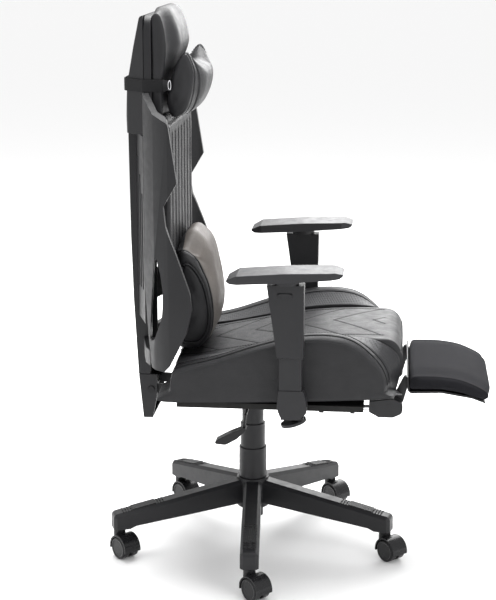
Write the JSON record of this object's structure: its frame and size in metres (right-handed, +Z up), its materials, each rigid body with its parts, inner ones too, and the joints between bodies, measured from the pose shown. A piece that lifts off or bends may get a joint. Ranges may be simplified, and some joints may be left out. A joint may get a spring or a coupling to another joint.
{
  "type": "gaming chair",
  "caption": "High-back reclining swivel chair with winged open-frame back, bucket seat, height-adjustable arms, loose neck and lumbar cushions, pull-out footrest and a castered star base.",
  "frame": {"origin": "on the floor under the gas lift's axis", "axes": "+Z up, the sitter faces -Y, +X is the sitter's left"},
  "size_m": [0.7125, 0.8792, 1.2799],
  "materials": {
    "frame_plastic": "fine satin grain",
    "tread_plastic": "ribbed",
    "cover_plastic": "satin",
    "painted_steel": "semi-matt black",
    "bright_steel": "ground",
    "chrome": "polished",
    "board": "painted plywood",
    "leather": "fine grain",
    "lumbar_leather": "fine grain, brownish grey",
    "webbing": "elastic webbing",
    "footrest_cloth": "plain weave",
    "arm_plastic": "satin",
    "arm_pad_foam": "soft-touch skin",
    "caster_plastic": "semi-gloss",
    "wheel_plastic": "semi-gloss nylon"
  },
  "bodies": {
    "base": {"base_star": "frame_plastic", "base_foot_pads": "tread_plastic", "gas_lift_outer_tube": "painted_steel", "column_cover_lower": "cover_plastic", "caster_stems": "bright_steel"},
    "cover_middle": {"column_cover_middle": "cover_plastic"},
    "piston": {"gas_lift_piston": "bright_steel", "column_cover_upper": "cover_plastic"},
    "seat": {"seat_mechanism": "painted_steel", "seat_pan": "board", "seat_cushion": "leather", "seat_bolster_left": "leather", "seat_bolster_right": "leather", "recline_arms": "painted_steel", "recline_pin": "painted_steel", "footrest_guide_left": "arm_plastic", "footrest_guide_right": "arm_plastic"},
    "height_lever": {"height_lever": "painted_steel"},
    "back": {"spine_cover": "frame_plastic", "spine_foot": "frame_plastic", "lower_links": "frame_plastic", "headrest_plate": "frame_plastic", "rear_hood": "frame_plastic", "headrest_pad": "leather", "head_pillow": "leather", "pillow_strap": "webbing", "lumbar_cushion": "lumbar_leather", "back_cushion": "leather", "side_frame_left": "frame_plastic", "side_frame_right": "frame_plastic", "back_panel_left": "frame_plastic", "back_panel_right": "frame_plastic"},
    "footrest_slide": {"footrest_rods": "chrome", "footrest_elbows": "arm_plastic"},
    "footrest": {"footrest_hinge_arms": "arm_plastic", "footrest_plate": "painted_steel", "footrest_cushion": "footrest_cloth"},
    "caster_fork_1": {"caster_hood_1": "caster_plastic"},
    "caster_roller_1": {"caster_wheels_1": "wheel_plastic"},
    "caster_fork_2": {"caster_hood_2": "caster_plastic"},
    "caster_roller_2": {"caster_wheels_2": "wheel_plastic"},
    "caster_fork_3": {"caster_hood_3": "caster_plastic"},
    "caster_roller_3": {"caster_wheels_3": "wheel_plastic"},
    "caster_fork_4": {"caster_hood_4": "caster_plastic"},
    "caster_roller_4": {"caster_wheels_4": "wheel_plastic"},
    "caster_fork_5": {"caster_hood_5": "caster_plastic"},
    "caster_roller_5": {"caster_wheels_5": "wheel_plastic"},
    "arm_base_left": {"arm_bracket_left": "painted_steel", "arm_post_left": "arm_plastic"},
    "arm_knob_left": {"arm_knob_left": "arm_plastic"},
    "arm_upper_left": {"arm_sleeve_left": "arm_plastic"},
    "arm_button_left": {"arm_button_left": "arm_plastic"},
    "arm_rest_left": {"arm_pad_left": "arm_pad_foam"},
    "arm_base_right": {"arm_bracket_right": "painted_steel", "arm_post_right": "arm_plastic"},
    "arm_knob_right": {"arm_knob_right": "arm_plastic"},
    "arm_upper_right": {"arm_sleeve_right": "arm_plastic"},
    "arm_button_right": {"arm_button_right": "arm_plastic"},
    "arm_rest_right": {"arm_pad_right": "arm_pad_foam"}
  },
  "joints": [
    {"name": "gas_lift", "type": "slide", "parent": "base", "child": "piston", "axis": [0, 0, 1], "range_m": [-0.08, 0]},
    {"name": "cover_stage", "type": "slide", "parent": "base", "child": "cover_middle", "axis": [0, 0, 1], "range_m": [-0.04, 0]},
    {"name": "seat_swivel", "type": "hinge", "parent": "piston", "child": "seat", "pos_m": [0, 0, 0.37], "axis": [0, 0, 1], "continuous": true},
    {"name": "height_lever_lift", "type": "hinge", "parent": "seat", "child": "height_lever", "pos_m": [-0.1, 0, 0.374], "axis": [1, 0, 0], "range_deg": [0, 8], "stiffness_Nm_per_rad": 1.5, "springref_deg": -8.59},
    {"name": "backrest_recline", "type": "hinge", "parent": "seat", "child": "back", "pos_m": [0, 0.235, 0.392], "axis": [-1, 0, 0], "range_deg": [0, 20]},
    {"name": "footrest_pull", "type": "slide", "parent": "seat", "child": "footrest_slide", "axis": [0, -1, 0], "range_m": [0, 0.19]},
    {"name": "footrest_fold", "type": "hinge", "parent": "footrest_slide", "child": "footrest", "pos_m": [0, -0.333, 0.395], "axis": [1, 0, 0], "range_deg": [0, 175]},
    {"name": "caster_swivel_1", "type": "hinge", "parent": "base", "child": "caster_fork_1", "pos_m": [0.25242, 0.21256, 0.07], "axis": [0, 0, 1], "continuous": true},
    {"name": "caster_roll_1", "type": "hinge", "parent": "caster_fork_1", "child": "caster_roller_1", "pos_m": [0.23687, 0.197, 0.026], "axis": [-0.7071, 0.7071, 0], "continuous": true},
    {"name": "caster_swivel_2", "type": "hinge", "parent": "base", "child": "caster_fork_2", "pos_m": [-0.12415, 0.30575, 0.07], "axis": [0, 0, 1], "continuous": true},
    {"name": "caster_roll_2", "type": "hinge", "parent": "caster_fork_2", "child": "caster_roller_2", "pos_m": [-0.13971, 0.2902, 0.026], "axis": [-0.7071, 0.7071, 0], "continuous": true},
    {"name": "caster_swivel_3", "type": "hinge", "parent": "base", "child": "caster_fork_3", "pos_m": [-0.32915, -0.02359, 0.07], "axis": [0, 0, 1], "continuous": true},
    {"name": "caster_roll_3", "type": "hinge", "parent": "caster_fork_3", "child": "caster_roller_3", "pos_m": [-0.34471, -0.03915, 0.026], "axis": [-0.7071, 0.7071, 0], "continuous": true},
    {"name": "caster_swivel_4", "type": "hinge", "parent": "base", "child": "caster_fork_4", "pos_m": [-0.07927, -0.32034, 0.07], "axis": [0, 0, 1], "continuous": true},
    {"name": "caster_roll_4", "type": "hinge", "parent": "caster_fork_4", "child": "caster_roller_4", "pos_m": [-0.09483, -0.33589, 0.026], "axis": [-0.7071, 0.7071, 0], "continuous": true},
    {"name": "caster_swivel_5", "type": "hinge", "parent": "base", "child": "caster_fork_5", "pos_m": [0.28016, -0.17439, 0.07], "axis": [0, 0, 1], "continuous": true},
    {"name": "caster_roll_5", "type": "hinge", "parent": "caster_fork_5", "child": "caster_roller_5", "pos_m": [0.2646, -0.18994, 0.026], "axis": [-0.7071, 0.7071, 0], "continuous": true},
    {"name": "arm_width_left", "type": "slide", "parent": "seat", "child": "arm_base_left", "axis": [1, 0, 0], "range_m": [0, 0.02]},
    {"name": "arm_knob_turn_left", "type": "hinge", "parent": "arm_base_left", "child": "arm_knob_left", "pos_m": [0.258, -0.116, 0.383], "axis": [0, 0.2756, 0.9613], "range_deg": [0, 270]},
    {"name": "arm_height_left", "type": "slide", "parent": "arm_base_left", "child": "arm_upper_left", "axis": [0, 0, 1], "range_m": [-0.064, 0]},
    {"name": "arm_button_press_left", "type": "slide", "parent": "arm_upper_left", "child": "arm_button_left", "axis": [-1, 0, 0], "range_m": [0, 0.002], "stiffness_N_per_m": 600, "springref_m": -0.002},
    {"name": "arm_pad_swivel_left", "type": "hinge", "parent": "arm_upper_left", "child": "arm_rest_left", "pos_m": [0.285, -0.1, 0.706], "axis": [0, 0, 1], "range_deg": [-15, 15]},
    {"name": "arm_width_right", "type": "slide", "parent": "seat", "child": "arm_base_right", "axis": [-1, 0, 0], "range_m": [0, 0.02]},
    {"name": "arm_knob_turn_right", "type": "hinge", "parent": "arm_base_right", "child": "arm_knob_right", "pos_m": [-0.258, -0.116, 0.383], "axis": [0, 0.2756, 0.9613], "range_deg": [0, 270]},
    {"name": "arm_height_right", "type": "slide", "parent": "arm_base_right", "child": "arm_upper_right", "axis": [0, 0, 1], "range_m": [-0.064, 0]},
    {"name": "arm_button_press_right", "type": "slide", "parent": "arm_upper_right", "child": "arm_button_right", "axis": [1, 0, 0], "range_m": [0, 0.002], "stiffness_N_per_m": 600, "springref_m": -0.002},
    {"name": "arm_pad_swivel_right", "type": "hinge", "parent": "arm_upper_right", "child": "arm_rest_right", "pos_m": [-0.285, -0.1, 0.706], "axis": [0, 0, 1], "range_deg": [-15, 15]}
  ],
  "couplings": [
    {"joint": "cover_stage", "follows": "gas_lift", "ratio": 0.5}
  ]
}
